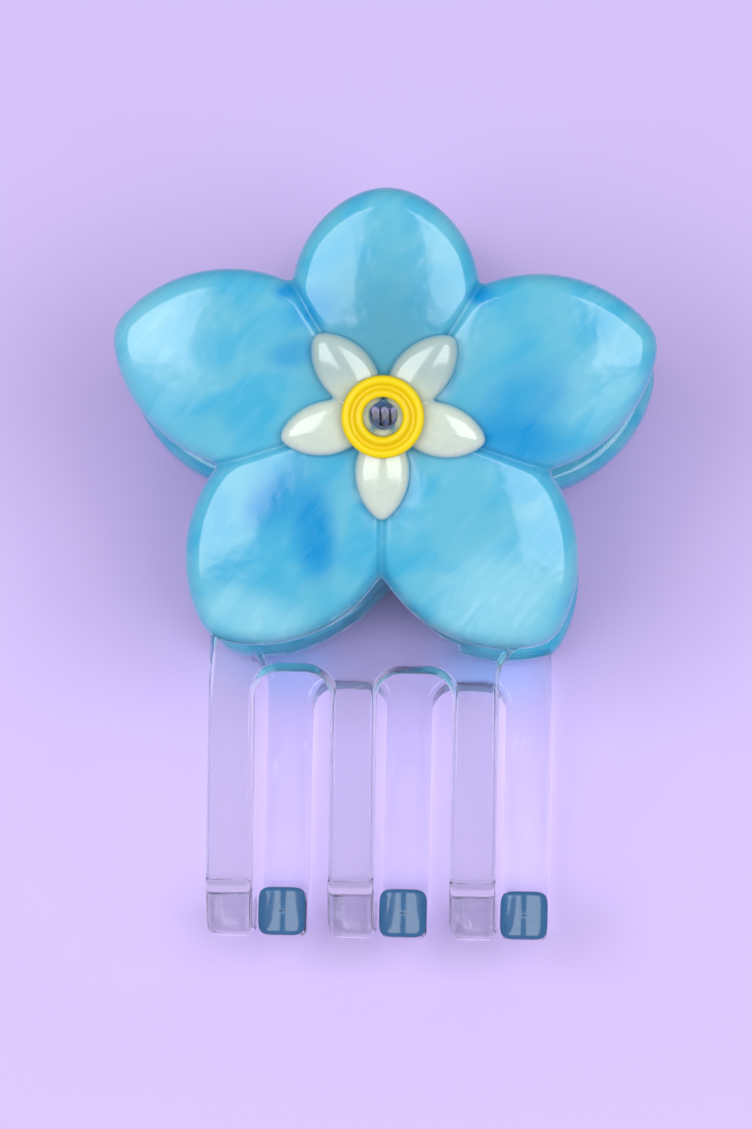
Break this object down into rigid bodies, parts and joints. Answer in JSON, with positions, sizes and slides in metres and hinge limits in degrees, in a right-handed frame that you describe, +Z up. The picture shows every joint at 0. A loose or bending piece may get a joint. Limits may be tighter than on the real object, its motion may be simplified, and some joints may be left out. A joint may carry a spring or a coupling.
{
  "type": "claw hair clip",
  "caption": "Spring claw clip for hair: two flower plates with clear interleaved teeth, hinged on a steel pin so that squeezing the petals opens the teeth.",
  "frame": {"origin": "On the table under the middle of the closed clip, which lies on its rear half.", "axes": "+X along the hinge pin, +Y towards the top petals, away from the teeth, +Z up, towards the front flower."},
  "size_m": [0.058, 0.0828, 0.0497],
  "materials": {
    "blue_acetate": "polished marbled cellulose acetate, sky blue with deep blue streaks",
    "clear_acetate": "clear polished cellulose acetate",
    "cream_acetate": "milky translucent polished acetate",
    "yellow_acetate": "polished yellow acetate, turned groove",
    "slate_pad": "glossy slate blue",
    "steel": "nickel plated sheet and wire"
  },
  "bodies": {
    "rear_half": {"rear_flower": "blue_acetate", "rear_comb": "clear_acetate", "rear_star": "cream_acetate", "rear_ring": "yellow_acetate", "rear_tooth_pads": "slate_pad", "rear_hinge_leaf": "steel", "rear_hinge_studs": "steel", "hinge_pin": "steel", "spring_coil": "steel"},
    "front_half": {"front_flower": "blue_acetate", "front_comb": "clear_acetate", "front_star": "cream_acetate", "front_ring": "yellow_acetate", "front_tooth_pads": "clear_acetate", "front_hinge_leaf": "steel", "front_hinge_studs": "steel", "spring_front_leg": "steel"}
  },
  "joints": [
    {"name": "clip_hinge", "type": "hinge", "parent": "rear_half", "child": "front_half", "pos_m": [0, 0.01307, 0.02252], "axis": [-1, 0, 0], "range_deg": [0, 42], "stiffness_Nm_per_rad": 0.08, "springref_deg": -20.05}
  ]
}
